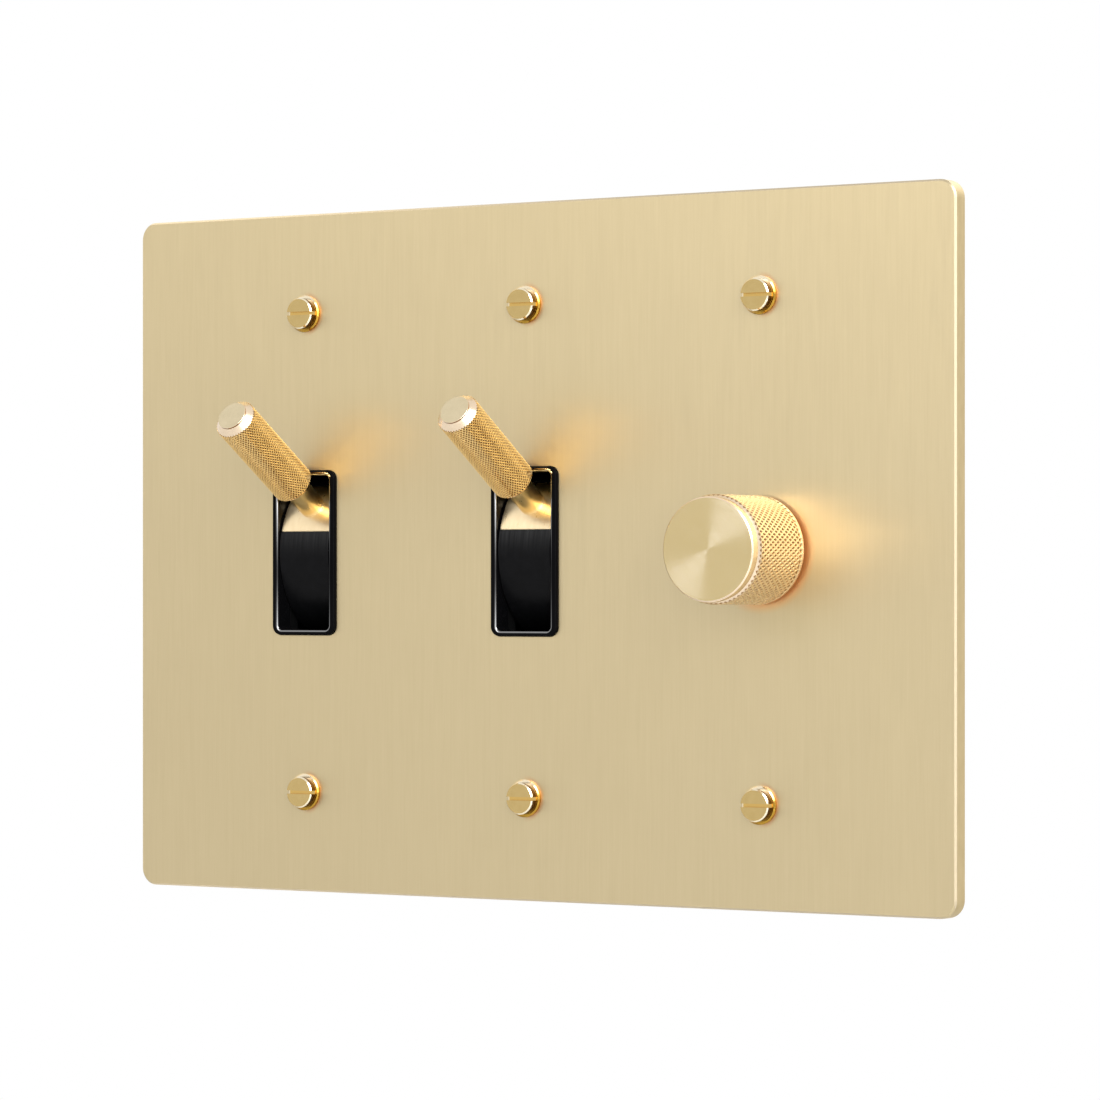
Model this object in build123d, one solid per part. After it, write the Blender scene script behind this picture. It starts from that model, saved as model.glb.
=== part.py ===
from build123d import *
import math
import os

# Three-gang wall plate with two toggle switches and one rotary dimmer, in millimetres.
# X runs to the right, Y into the wall and Z up. The wall lies at Y = 0, the plate stands in front of it.

# Face plate
plate_width = 164.5
plate_height = 118.0
plate_thickness = 3.0
plate_corner = 3.0
plate_edge = 0.3
plate_rim = 4.5
hollow_depth = 1.5
hollow_corner = 2.0
gang_pitch = 46.04

# Plate screws, which also hold the straps to the wall box
screw_spacing = 83.34
screw_diameter = 3.5
screw_neck_diameter = 2.9
screw_neck_end = -0.15
screw_hole = 4.0
screw_reach = 22.0
screw_point = 0.8
screw_head_diameter = 5.4
screw_head_height = 1.4
screw_flange_diameter = 6.4
screw_flange_height = 0.6
screw_bevel = 0.22
screw_slot_width = 0.6
screw_slot_depth = 1.2

# Clearances
fit_gap = 0.1
running_gap = 0.03
moving_gap = 0.3
cut_past = 1.0

# Bezel
bezel_width = 13.4
bezel_height = 28.6
bezel_corner = 1.6
bezel_proud = 0.7
bezel_bead = 0.38
bezel_flange = 2.2
bezel_side = 1.25
bezel_rail = 0.9
window_corner = 0.8

# Straps
strap_thickness = 1.3
strap_width = 26.0
strap_inset = 2.0
strap_shoulder = 74.0
strap_corner = 2.0
tongue_width = 18.0
ear_span = 35.0
ear_height = 10.0
ear_hole = 4.2
strap_slot_length = 7.0

# Rivets
rivet_diameter = 3.0
rivet_head_diameter = 5.2
rivet_head_depth = 1.0
rivet_reach = 12.0
rivet_across = 17.0

# Ground screws and terminal screws
ground_tab_width = 9.0
ground_tab_reach = 11.0
ground_tab_gap = 1.7
ground_tab_offset = 8.0
binding_head_diameter = 7.0
binding_head_height = 2.0
binding_head_round = 0.5
binding_screw_diameter = 3.4
binding_slot = 0.9
binding_slot_depth = 1.0

# Switch body and cover
body_width = 33.0
body_height = 64.0
body_depth = 31.5
body_wall = 2.5
body_corner = 2.0
body_back_edge = 1.0
cover_thickness = 2.6
post_diameter = 7.0
post_sink = 1.0
boss_diameter = 8.0

# Toggle: lever, rocker drum and pivot
pivot_depth = 11.7
neck_clearance = 0.7163
drum_radius = 15.1
drum_side_gap = 0.25
drum_shell = 1.4
drum_web = 1.6
drum_back = 1.6
hub_diameter = 6.4
spine_height = 6.4
pin_diameter = 3.0
pin_length = 22.0
pin_edge = 0.3
foot_height = 9.6
foot_thickness = 1.0
foot_edge = 0.12
neck_diameter = 4.5
neck_end = 21.6
spigot_diameter = 3.0
spigot_length = 9.0
root_diameter = 3.6
root_length = 7.5
handle_diameter = 7.5
handle_length = 21.1
handle_end_diameter = 5.3
handle_end_step = 0.2
handle_chamfer = 0.9
handle_foot_edge = 0.25

# Toggle spring
spring_diameter = 3.4
spring_wire = 0.5
spring_turns = 5.0
ball_diameter = 3.6
ball_neck = 2.0
tail_length = 5.0

# Contact arm, line terminal and load terminal
arm_swing = 20.0
arm_length = 8.5
cheek_height = 3.0
cheek_thickness = 0.8
cheek_outside = 8.0
knife_radius = 0.6
knife_taper = 1.5
seat_back = 1.0
seat_thickness = 0.8
seat_ball = 3.6
contact_ear = 4.0
contact_ear_length = 2.3
button_diameter = 2.4
button_height = 0.8
contact_gap = 0.12
strip_thickness = 1.0
strip_width = 8.0
saddle_height = 0.4
saddle_width = 8.4
notch_depth = 0.7
notch_half_angle = 60.0
terminal_up = 16.0
terminal_screw_depth = 22.0
tab_front = 18.0
tab_recess = 1.2
tab_recess_gap = 0.6

# Dimmer housing and strap
dimmer_width = 43.0
dimmer_height = 66.0
dimmer_depth = 28.0
dimmer_wall = 2.2
dimmer_strap_width = 43.0
dimmer_post_diameter = 6.0

# Dimmer bush, nut and spindle
bush_diameter = 9.4
bush_flange_diameter = 14.0
bush_flange_thickness = 1.0
washer_diameter = 14.4
washer_thickness = 0.6
nut_across_flats = 12.5
nut_thickness = 2.0
bush_past_nut = 0.6
spindle_diameter = 6.0
spindle_flat = 1.4
spindle_tail_width = 4.0

# Dimmer knob
knob_diameter = 18.0
knob_length = 15.5
knob_gap = 1.0
knob_collar_diameter = 17.0
knob_collar_length = 1.6
knob_face_bevel = 0.22
knob_skirt_wall = 1.2
knob_face_wall = 2.0
knob_rear_edge = 0.25
hub_insert_diameter = 12.0
push_travel = 0.7

# Potentiometer and push switch
pot_diameter = 17.0
pot_depth = 8.5
pot_wall = 0.7
rotor_diameter = 13.0
rotor_thickness = 2.6
track_thickness = 1.0
push_case_size = 13.0
push_case_gap = 2.0
push_case_wall = 1.2
plunger_flange_diameter = 7.4
plunger_flange_thickness = 0.8
plunger_end_gap = 3.0
push_spring_diameter = 4.6
push_spring_wire = 0.45
push_spring_turns = 4.0

# Circuit board and its parts
board_width = 37.0
board_height = 56.0
board_thickness = 1.6
triac_width = 10.0
triac_height = 15.5
triac_body_height = 9.0
triac_thickness = 4.4
triac_tab_thickness = 1.3
triac_up = 20.5
triac_hole_drop = 2.8
triac_screw_diameter = 3.0
triac_screw_head = 5.0
triac_screw_length = 4.0
triac_leg_width = 0.8
triac_leg_pitch = 2.54
choke_diameter = 12.0
choke_height = 13.0
choke_flange = 1.8
choke_core_diameter = 5.0
choke_winding_turns = 7
choke_across = 9.0
choke_down = 15.0
capacitor_width = 13.0
capacitor_depth = 9.0
capacitor_height = 6.5
capacitor_corner = 1.0

# Dimmer terminals
terminal_count = 3
terminal_pitch = 8.4
clamp_width = 5.6
clamp_height = 7.0
clamp_depth = 6.0
terminal_block_proud = 2.0
terminal_block_wall = 0.9
terminal_block_height = 11.0
terminal_block_drop = 24.0
wire_hole = 3.6
clamp_screw_diameter = 3.0
clamp_screw_head = 4.2
clamp_screw_head_height = 1.6

# Places worked out from the sizes above
toggle_places = {"left": -gang_pitch, "centre": 0.0}
dimmer_place = gang_pitch
gang_places = [-gang_pitch, 0.0, gang_pitch]
plate_front = -plate_thickness
strap_height = plate_height - 2 * plate_rim - 2 * strap_inset
hollow_floor = -hollow_depth
bezel_front = plate_front - bezel_proud
window_width = bezel_width - 2 * bezel_side
window_height = bezel_height - 2 * bezel_rail
cavity_back = body_depth - body_wall
half_inside = body_width / 2 - body_wall
rivet_up = body_height - 2 * body_wall - post_diameter + 2 * post_sink
dimmer_post_inset = 2 * dimmer_wall + dimmer_post_diameter - 2 * post_sink
dimmer_rivet_across = dimmer_width - dimmer_post_inset
dimmer_rivet_up = dimmer_height - dimmer_post_inset
drum_width = window_width - 2 * drum_side_gap
neck_limit = window_height / 2 - neck_clearance
neck_reach = pivot_depth - bezel_front
neck_slant = math.acos(neck_diameter / 2 / math.hypot(neck_limit, neck_reach))
lever_angle = math.degrees(neck_slant - math.atan2(neck_reach, neck_limit))
foot_face = math.sqrt(drum_radius ** 2 - (foot_height / 2) ** 2)
foot_seat = foot_face - foot_thickness
handle_end = neck_end + handle_length
tab_outside = body_width / 2 - tab_recess_gap
tab_inside = tab_outside - strip_thickness
saddle_front = cavity_back - strip_thickness - saddle_height
knife_to_notch = (knife_radius + fit_gap) / math.sin(math.radians(notch_half_angle))
fulcrum_depth = saddle_front + notch_depth - knife_to_notch
seat_face = seat_back + seat_thickness
seat_centre = seat_face + seat_ball / 2
nut_front = plate_front - washer_thickness - nut_thickness
bush_front = nut_front - bush_past_nut
knob_rear = plate_front - knob_gap
knob_front = knob_rear - knob_length
knob_recess_floor = bush_front - push_travel - moving_gap
terminal_block_back = dimmer_depth + terminal_block_proud
clamp_back = terminal_block_back - terminal_block_wall
clamp_front = clamp_back - clamp_depth
board_back = clamp_front - strip_thickness
board_front = board_back - board_thickness
pot_back = bush_flange_thickness + pot_depth
rotor_front = bush_flange_thickness + moving_gap
rotor_back = rotor_front + rotor_thickness
push_case_back = board_front - push_case_gap
spindle_back = pot_back + push_case_wall + moving_gap
plunger_front = spindle_back + fit_gap
plunger_back = push_case_back - push_case_wall - plunger_end_gap


def slab(outline, front, back):
    """Flat outline in X and Z, made solid from Y = front to Y = back."""
    return extrude(Plane.XZ.offset(-back) * outline, amount=back - front)


def block(x, y, z):
    """Box between the low and high values given for each axis."""
    size = Box(x[1] - x[0], y[1] - y[0], z[1] - z[0])
    return Pos((x[0] + x[1]) / 2, (y[0] + y[1]) / 2, (z[0] + z[1]) / 2) * size


def rod(diameter, front, back):
    """Round bar along Y."""
    return Pos(0, (front + back) / 2, 0) * Rot(90, 0, 0) * Cylinder(diameter / 2, back - front)


def cross_rod(diameter, left, right):
    """Round bar along X."""
    return Pos((left + right) / 2, 0, 0) * Rot(0, 90, 0) * Cylinder(diameter / 2, right - left)


def upright_rod(diameter, low, high):
    """Round bar along Z."""
    return Pos(0, 0, (low + high) / 2) * Cylinder(diameter / 2, high - low)


def turned(points):
    """Solid turned about the Y axis from a closed outline of (radius, Y) points."""
    return revolve(make_face(Polyline(*points, close=True)), axis=Axis.Y)


def rounded(width, height, corner):
    return RectangleRounded(width, height, corner)


def corners(across, up):
    """The four corners of a rectangle, as places in X and Z."""
    return [Pos(x, 0, z) for x in (-across / 2, across / 2) for z in (-up / 2, up / 2)]


def lever_pose(gang):
    """Carries a piece modelled with its lever along -Y about the pivot to its raised rest place."""
    return Pos(gang, pivot_depth, 0) * Rot(-lever_angle, 0, 0)


def arm_pose():
    """Carries a piece modelled along -Y about the fulcrum to the contact arm's rest tilt."""
    return Pos(0, fulcrum_depth, 0) * Rot(-arm_swing, 0, 0)


def coil(mean_diameter, wire, turns, length):
    """Compression spring along Z from 0 to its length, measured over the wire."""
    helix = Helix((length - wire) / turns, length - wire, mean_diameter / 2)
    section = Plane(origin=helix @ 0, z_dir=helix % 0) * Circle(wire / 2)
    return Pos(0, 0, wire / 2) * sweep(section, path=helix, is_frenet=True)


# Plate and its screws
def face_plate():
    plate = slab(rounded(plate_width, plate_height, plate_corner), plate_front, 0)
    front = plate.faces().sort_by(Axis.Y)[0]
    plate = chamfer(front.edges(), plate_edge)
    hollow = rounded(plate_width - 2 * plate_rim, plate_height - 2 * plate_rim, hollow_corner)
    plate -= slab(hollow, hollow_floor, cut_past)
    window = rounded(bezel_width + 2 * fit_gap, bezel_height + 2 * fit_gap, bezel_corner + fit_gap)
    opening = slab(window, plate_front - cut_past, cut_past)
    for gang in toggle_places.values():
        plate -= Pos(gang, 0, 0) * opening
    plate -= Pos(dimmer_place, 0, 0) * rod(bush_diameter + 2 * fit_gap, plate_front - cut_past, cut_past)
    for gang in gang_places:
        for height in (-screw_spacing / 2, screw_spacing / 2):
            plate -= Pos(gang, 0, height) * rod(screw_hole, plate_front - cut_past, cut_past)
    return plate


def plate_screws():
    flange_front = plate_front - screw_flange_height
    head_front = flange_front - screw_head_height
    head = screw_head_diameter / 2
    flange = screw_flange_diameter / 2
    neck = screw_neck_diameter / 2
    shank = screw_diameter / 2
    screw = turned([
        (0, head_front),
        (head - screw_bevel, head_front),
        (head, head_front + screw_bevel),
        (head, flange_front),
        (flange - screw_bevel, flange_front),
        (flange, flange_front + screw_bevel),
        (flange, plate_front),
        (neck, plate_front),
        (neck, screw_neck_end),
        (shank, screw_neck_end + shank - neck),
        (shank, screw_reach - screw_point),
        (shank - screw_point, screw_reach),
        (0, screw_reach),
    ])
    slot_half = screw_slot_width / 2
    slot_y = (head_front - cut_past, head_front + screw_slot_depth)
    screw -= block((-screw_flange_diameter, screw_flange_diameter), slot_y, (-slot_half, slot_half))
    heights = (-screw_spacing / 2, screw_spacing / 2)
    return [Pos(gang, 0, height) * screw for gang in gang_places for height in heights]


# Toggle switch, front to back
def bezel():
    flange_width = bezel_width + 2 * bezel_flange
    flange_height = bezel_height + 2 * bezel_flange
    frame = slab(rounded(bezel_width, bezel_height, bezel_corner), bezel_front, hollow_floor)
    frame += slab(rounded(flange_width, flange_height, bezel_corner), hollow_floor, 0)
    window = rounded(window_width, window_height, window_corner)
    frame -= slab(window, bezel_front - cut_past, cut_past)
    front = frame.faces().sort_by(Axis.Y)[0]
    return fillet(front.edges(), bezel_bead)


def rivet(gap):
    """Flush rivet, or with a gap the countersunk hole that it fills."""
    front = -strap_thickness
    head = rivet_head_diameter / 2 + gap
    shank = rivet_diameter / 2 + gap
    return turned([
        (0, front),
        (head, front),
        (shank, front + rivet_head_depth),
        (shank, rivet_reach + gap),
        (0, rivet_reach + gap),
    ])


def rivets(across, up):
    return [place * rivet(0) for place in corners(across, up)]


def rivet_holes(solid, across, up):
    for place in corners(across, up):
        solid -= place * rivet(fit_gap)
    return solid


def ground_tab_place(housing_height):
    """Outer face of the ground tab, under the housing's lower end."""
    return -housing_height / 2 - ground_tab_gap - strap_thickness


def strap(width, housing_height):
    """Flat strap with plaster ears, box-screw slots and a bent tab for the ground screw."""
    outline = rounded(width, strap_shoulder, strap_corner)
    outline += rounded(tongue_width, strap_height, strap_corner)
    ear_place = strap_height / 2 - ear_height / 2
    ear_reach = ear_span / 2 - ear_height / 2
    for side in (-1, 1):
        outline += Pos(0, side * ear_place) * SlotOverall(ear_span, ear_height)
    for side in (-1, 1):
        outline -= Pos(0, side * screw_spacing / 2) * SlotOverall(strap_slot_length, screw_hole)
        for end in (-ear_reach, ear_reach):
            outline -= Pos(end, side * ear_place) * Circle(ear_hole / 2)
    plate = slab(outline, -strap_thickness, 0)
    tab_low = ground_tab_place(housing_height)
    tab_x = (-ground_tab_offset - ground_tab_width / 2, -ground_tab_offset + ground_tab_width / 2)
    plate += block(tab_x, (-strap_thickness, ground_tab_reach), (tab_low, tab_low + strap_thickness))
    hole = upright_rod(binding_screw_diameter, tab_low - cut_past, tab_low + strap_thickness + cut_past)
    return plate - Pos(-ground_tab_offset, ground_tab_reach / 2, 0) * hole


def toggle_strap():
    plate = strap(strap_width, body_height)
    flange_width = bezel_width + 2 * bezel_flange + 2 * fit_gap
    flange_height = bezel_height + 2 * bezel_flange + 2 * fit_gap
    window = rounded(flange_width, flange_height, bezel_corner + fit_gap)
    plate -= slab(window, -strap_thickness - cut_past, cut_past)
    return rivet_holes(plate, rivet_across, rivet_up)


def binding_screw(shank_length):
    """Slotted binding screw along -Z, with the underside of its head at Z = 0."""
    head = Cylinder(binding_head_diameter / 2, binding_head_height)
    head = fillet(head.edges().sort_by(Axis.Z)[-1], binding_head_round)
    screw = Pos(0, 0, binding_head_height / 2) * head
    screw += upright_rod(binding_screw_diameter, -shank_length, 0)
    slot_z = (binding_head_height - binding_slot_depth, binding_head_height + cut_past)
    slot_x = (-binding_head_diameter, binding_head_diameter)
    return screw - block(slot_x, (-binding_slot / 2, binding_slot / 2), slot_z)


def ground_screw(housing_height):
    """Screw under the strap's bent tab, its head turned down."""
    screw = binding_screw(strap_thickness + ground_tab_gap / 2)
    place = Pos(-ground_tab_offset, ground_tab_reach / 2, ground_tab_place(housing_height))
    return place * Rot(180, 0, 0) * screw


def switch_cover():
    cover = slab(rounded(body_width, body_height, body_corner), 0, cover_thickness)
    window = rounded(window_width + 2 * moving_gap, window_height + 2 * moving_gap, window_corner)
    cover -= slab(window, -cut_past, cover_thickness + cut_past)
    return rivet_holes(cover, rivet_across, rivet_up)


def terminal_sides():
    """Heights of the line terminal and the load terminal."""
    return (-terminal_up, terminal_up)


def switch_body():
    body = slab(rounded(body_width, body_height, body_corner), cover_thickness, body_depth)
    back = body.faces().sort_by(Axis.Y)[-1]
    body = fillet(back.edges(), body_back_edge)
    inside = Rectangle(2 * half_inside, body_height - 2 * body_wall)
    body -= slab(inside, cover_thickness - cut_past, cavity_back)
    for place in corners(rivet_across, rivet_up):
        body += place * rod(post_diameter, cover_thickness, cavity_back)
    body = rivet_holes(body, rivet_across, rivet_up)
    boss_face = drum_width / 2 + moving_gap
    pin_hole = pin_diameter + 2 * running_gap
    pin_stop = pin_length / 2 + fit_gap
    for side in (-1, 1):
        reach = sorted((side * boss_face, side * (half_inside + body_wall / 2)))
        body += Pos(0, pivot_depth, 0) * cross_rod(boss_diameter, *reach)
        bore = sorted((side * (boss_face - cut_past), side * pin_stop))
        body -= Pos(0, pivot_depth, 0) * cross_rod(pin_hole, *bore)
    half_strip = strip_width / 2 + fit_gap
    recess_x = (tab_inside - fit_gap, body_width / 2 + cut_past)
    for height in terminal_sides():
        strip_z = (height - half_strip, height + half_strip)
        body -= block(recess_x, (tab_front - tab_recess, cavity_back), strip_z)
        slot_x = (half_inside - cut_past, recess_x[1])
        slot_y = (cavity_back - strip_thickness - fit_gap, cavity_back)
        body -= block(slot_x, slot_y, strip_z)
        hole = cross_rod(binding_screw_diameter + 2 * fit_gap, *slot_x)
        body -= Pos(0, terminal_screw_depth, height) * hole
    ear_out = cheek_outside / 2 + contact_ear
    stop_top = -arm_length * math.sin(math.radians(arm_swing)) - 2 * moving_gap
    stop_x = (cheek_outside / 2 + moving_gap, ear_out)
    stop_front = fulcrum_depth - arm_length
    stop_z = (stop_top - cheek_height / 2, stop_top + cheek_height / 4)
    body += block(stop_x, (stop_front, cavity_back + cut_past), stop_z)
    return body


def pivot_pin(gang):
    pin = cross_rod(pin_diameter, -pin_length / 2, pin_length / 2)
    pin = chamfer(pin.edges().filter_by(GeomType.CIRCLE), pin_edge)
    return Pos(gang, pivot_depth, 0) * pin


def rocker(gang):
    """Moulded drum that closes the window, with a hub on the pin, a flat seat and a ball tail."""
    half = drum_width / 2
    drum = cross_rod(2 * drum_radius, -half, half)
    across = (-half - cut_past, half + cut_past)
    all_round = (-2 * drum_radius, 2 * drum_radius)
    drum -= block(across, (drum_back, 2 * drum_radius), all_round)
    notch = foot_height / 2 + fit_gap
    drum -= block(across, (-2 * drum_radius, -foot_seat), (-notch, notch))
    inside = half - drum_web
    hollow = cross_rod(2 * (drum_radius - drum_shell), -inside, inside)
    floor = foot_seat - drum_shell
    hollow &= block((-inside, inside), (-floor, 2 * drum_radius), all_round)
    drum -= hollow
    drum += block((-inside, inside), (-floor, 0), (-spine_height / 2, spine_height / 2))
    drum += cross_rod(hub_diameter, -half, half)
    drum += rod(ball_neck, 0, tail_length)
    drum += Pos(0, tail_length, 0) * Sphere(ball_diameter / 2)
    drum -= cross_rod(pin_diameter + 2 * running_gap, *across)
    drum -= rod(root_diameter, -foot_face, -foot_seat + root_length)
    return lever_pose(gang) * drum


def lever_stem(gang):
    """Square foot whose face follows the drum, round neck and the two spigots, all from one bar."""
    half = drum_width / 2
    foot = block((-half, half), (-drum_radius, -foot_seat), (-foot_height / 2, foot_height / 2))
    foot &= cross_rod(2 * drum_radius, -half, half)
    foot = chamfer(foot.faces().sort_by(Axis.Y)[0].edges(), foot_edge)
    stem = foot + rod(neck_diameter, -neck_end, -foot_face)
    stem += rod(spigot_diameter, -neck_end - spigot_length, -neck_end)
    stem += rod(root_diameter, -foot_seat, -foot_seat + root_length)
    return lever_pose(gang) * stem


def lever_handle(gang):
    """Turned grip with a chamfered end and a blind hole for the stem."""
    outer = handle_diameter / 2
    hole = spigot_diameter / 2
    handle = turned([
        (0, -handle_end),
        (handle_end_diameter / 2, -handle_end),
        (handle_end_diameter / 2, -handle_end + handle_end_step),
        (outer, -handle_end + handle_end_step + handle_chamfer),
        (outer, -neck_end - handle_foot_edge),
        (outer - handle_foot_edge, -neck_end),
        (hole, -neck_end),
        (hole, -neck_end - spigot_length),
        (0, -neck_end - spigot_length),
    ])
    return lever_pose(gang) * handle


def toggle_spring(gang):
    """Over-centre spring between the rocker's ball tail and the contact arm's ball seat."""
    tail = lever_pose(0) * Pos(0, tail_length, 0)
    seat = arm_pose() * Pos(0, -seat_centre, 0)
    start = tail.position
    reach = seat.position - start
    inner = spring_diameter / 2 - spring_wire / 2
    sit = math.sqrt((ball_diameter / 2) ** 2 - inner ** 2) + spring_wire / 4
    length = reach.length - 2 * sit
    spring = Pos(0, 0, sit) * coil(spring_diameter, spring_wire, spring_turns, length)
    frame = Plane(origin=start, x_dir=(1, 0, 0), z_dir=reach)
    return Pos(gang, 0, 0) * frame.location * spring


def contact_arm(gang):
    """Rocking channel with a knife edge at the fulcrum, a ball seat and a contact on one ear."""
    outside = cheek_outside / 2
    tall = cheek_height / 2
    side = make_face(Polyline(
        (0, -knife_radius),
        (-knife_taper, -tall),
        (-arm_length, -tall),
        (-arm_length, tall),
        (-knife_taper, tall),
        (0, knife_radius),
        close=True,
    ))
    cheek = extrude(Plane.YZ * side, amount=cheek_thickness)
    cheek += cross_rod(2 * knife_radius, 0, cheek_thickness)
    arm = Pos(outside - cheek_thickness, 0, 0) * cheek
    arm += Pos(-outside, 0, 0) * cheek
    arm += block((-outside, outside), (-seat_face, -seat_back), (-tall, tall))
    arm += rod(ball_neck, -seat_centre, -seat_back)
    arm += Pos(0, -seat_centre, 0) * Sphere(seat_ball / 2)
    ear_y = (-arm_length, -arm_length + contact_ear_length)
    arm += block((outside - cheek_thickness, outside + contact_ear), ear_y, (tall - cheek_thickness, tall))
    arm += contact_button(tall, tall + button_height)
    return Pos(gang, 0, 0) * arm_pose() * arm


def contact_button(low, high):
    """Round contact over the arm's ear, in the arm's own frame."""
    middle = Pos((cheek_outside + contact_ear) / 2, -arm_length + contact_ear_length / 2, 0)
    return middle * upright_rod(button_diameter, low, high)


def terminal_strip(height):
    """Strip along the back of the body, through its side wall, with the tab for the screw."""
    half = strip_width / 2
    back = cavity_back - strip_thickness
    strip_z = (height - half, height + half)
    strip = block((0, tab_outside), (back, cavity_back), strip_z)
    strip += block((tab_inside, tab_outside), (tab_front, cavity_back), strip_z)
    hole = cross_rod(binding_screw_diameter, tab_inside - cut_past, tab_outside + cut_past)
    return strip - Pos(0, terminal_screw_depth, height) * hole


def line_terminal(gang):
    """Brass strip with the notched saddle that carries the contact arm."""
    line, load = terminal_sides()
    strip = terminal_strip(line)
    half = saddle_width / 2
    back = cavity_back - strip_thickness
    strip += block((0, half), (back, cavity_back), (line, 0))
    strip += block((-half, half), (saddle_front, cavity_back), (-half, half))
    notch_half = notch_depth * math.tan(math.radians(notch_half_angle))
    notch = make_face(Polyline(
        (saddle_front, -notch_half),
        (saddle_front + notch_depth, 0),
        (saddle_front, notch_half),
        close=True,
    ))
    strip -= Pos(-half, 0, 0) * extrude(Plane.YZ * notch, amount=saddle_width)
    return Pos(gang, 0, 0) * strip


def load_terminal(gang):
    """Brass strip with a riser that holds the fixed contact over the arm's ear."""
    line, load = terminal_sides()
    strip = terminal_strip(load)
    left = cheek_outside / 2 + moving_gap
    right = cheek_outside / 2 + contact_ear
    tall = cheek_height / 2 + button_height
    contact = arm_pose() * contact_button(tall + contact_gap, tall + contact_gap + 2 * button_height)
    low = contact.bounding_box().max.Z - strip_thickness / 2
    front = contact.bounding_box().min.Y - fit_gap
    riser = block((left, right), (front, cavity_back), (low, low + strip_thickness))
    riser += block((left, right), (cavity_back - strip_thickness, cavity_back), (low, load))
    return Pos(gang, 0, 0) * (strip + riser + contact)


def terminal_screws(gang):
    screw = Rot(0, 90, 0) * binding_screw(tab_outside - half_inside)
    return [Pos(gang + tab_outside, terminal_screw_depth, height) * screw for height in terminal_sides()]


# Dimmer, front to back
def knob():
    """Turned knob, hollow behind to cover the nut and bored for its moulded hub."""
    outer = knob_diameter / 2
    collar = knob_collar_diameter / 2
    collar_rear = knob_front + knob_collar_length
    skirt = outer - knob_skirt_wall
    bore = hub_insert_diameter / 2
    return Pos(dimmer_place, 0, 0) * turned([
        (0, knob_front),
        (collar - knob_face_bevel, knob_front),
        (collar, knob_front + knob_face_bevel),
        (collar, collar_rear),
        (outer, collar_rear + (outer - collar)),
        (outer, knob_rear - knob_rear_edge),
        (outer - knob_rear_edge, knob_rear),
        (skirt, knob_rear),
        (skirt, knob_recess_floor),
        (bore, knob_recess_floor),
        (bore, knob_front + knob_face_wall),
        (0, knob_front + knob_face_wall),
    ])


def flatted_rod(diameter, flat, front, back):
    """Round bar with one flat on its lower side."""
    bar = rod(diameter, front, back)
    return bar & block((-diameter, diameter), (front, back), (-diameter / 2 + flat, diameter))


def knob_hub():
    hub = rod(hub_insert_diameter, knob_front + knob_face_wall, knob_recess_floor)
    hub -= flatted_rod(spindle_diameter, spindle_flat, spindle_front(), knob_recess_floor + cut_past)
    return Pos(dimmer_place, 0, 0) * hub


def spindle_front():
    return knob_front + 2 * knob_face_wall


def spindle():
    """Shaft with a flat for the knob, a round bearing length and a flattened tail for the wiper."""
    shaft = flatted_rod(spindle_diameter, spindle_flat, spindle_front(), knob_recess_floor)
    tail_front = rotor_front - moving_gap - push_travel
    shaft += rod(spindle_diameter, knob_recess_floor, tail_front)
    half = spindle_tail_width / 2
    flats = block((-spindle_diameter, spindle_diameter), (tail_front, spindle_back), (-half, half))
    shaft += rod(spindle_diameter, tail_front, spindle_back) & flats
    return Pos(dimmer_place, 0, 0) * shaft


def bush():
    inside = spindle_diameter / 2 + running_gap
    flange = bush_flange_diameter / 2
    barrel = bush_diameter / 2
    return Pos(dimmer_place, 0, 0) * turned([
        (inside, bush_front),
        (barrel - screw_bevel, bush_front),
        (barrel, bush_front + screw_bevel),
        (barrel, 0),
        (flange, 0),
        (flange, bush_flange_thickness),
        (inside, bush_flange_thickness),
    ])


def bush_washer():
    ring = rod(washer_diameter, plate_front - washer_thickness, plate_front)
    ring -= rod(bush_diameter + 2 * fit_gap, plate_front - cut_past, plate_front + cut_past)
    return Pos(dimmer_place, 0, 0) * ring


def bush_nut():
    side = nut_across_flats / 2
    outline = RegularPolygon(side, 6, major_radius=False) - Circle(bush_diameter / 2)
    return Pos(dimmer_place, 0, 0) * slab(outline, nut_front, nut_front + nut_thickness)


def dimmer_strap():
    """Heat-sink strap that also closes the housing's front."""
    plate = strap(dimmer_strap_width, dimmer_height)
    plate -= rod(bush_diameter + 2 * fit_gap, -strap_thickness - cut_past, cut_past)
    plate = rivet_holes(plate, dimmer_rivet_across, dimmer_rivet_up)
    plate -= triac_hole_place() * rod(triac_screw_diameter, -strap_thickness - cut_past, cut_past)
    head = triac_screw_head / 2
    shank = triac_screw_diameter / 2
    plate -= triac_hole_place() * turned([
        (0, -strap_thickness),
        (head, -strap_thickness),
        (shank, -strap_thickness + head - shank),
        (0, -strap_thickness + head - shank),
    ])
    return Pos(dimmer_place, 0, 0) * plate


def triac_hole_place():
    return Pos(0, 0, triac_up + triac_height / 2 - triac_hole_drop)


def terminal_places():
    """Places of the dimmer's terminals along X."""
    first = -(terminal_count - 1) / 2 * terminal_pitch
    return [first + index * terminal_pitch for index in range(terminal_count)]


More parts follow.
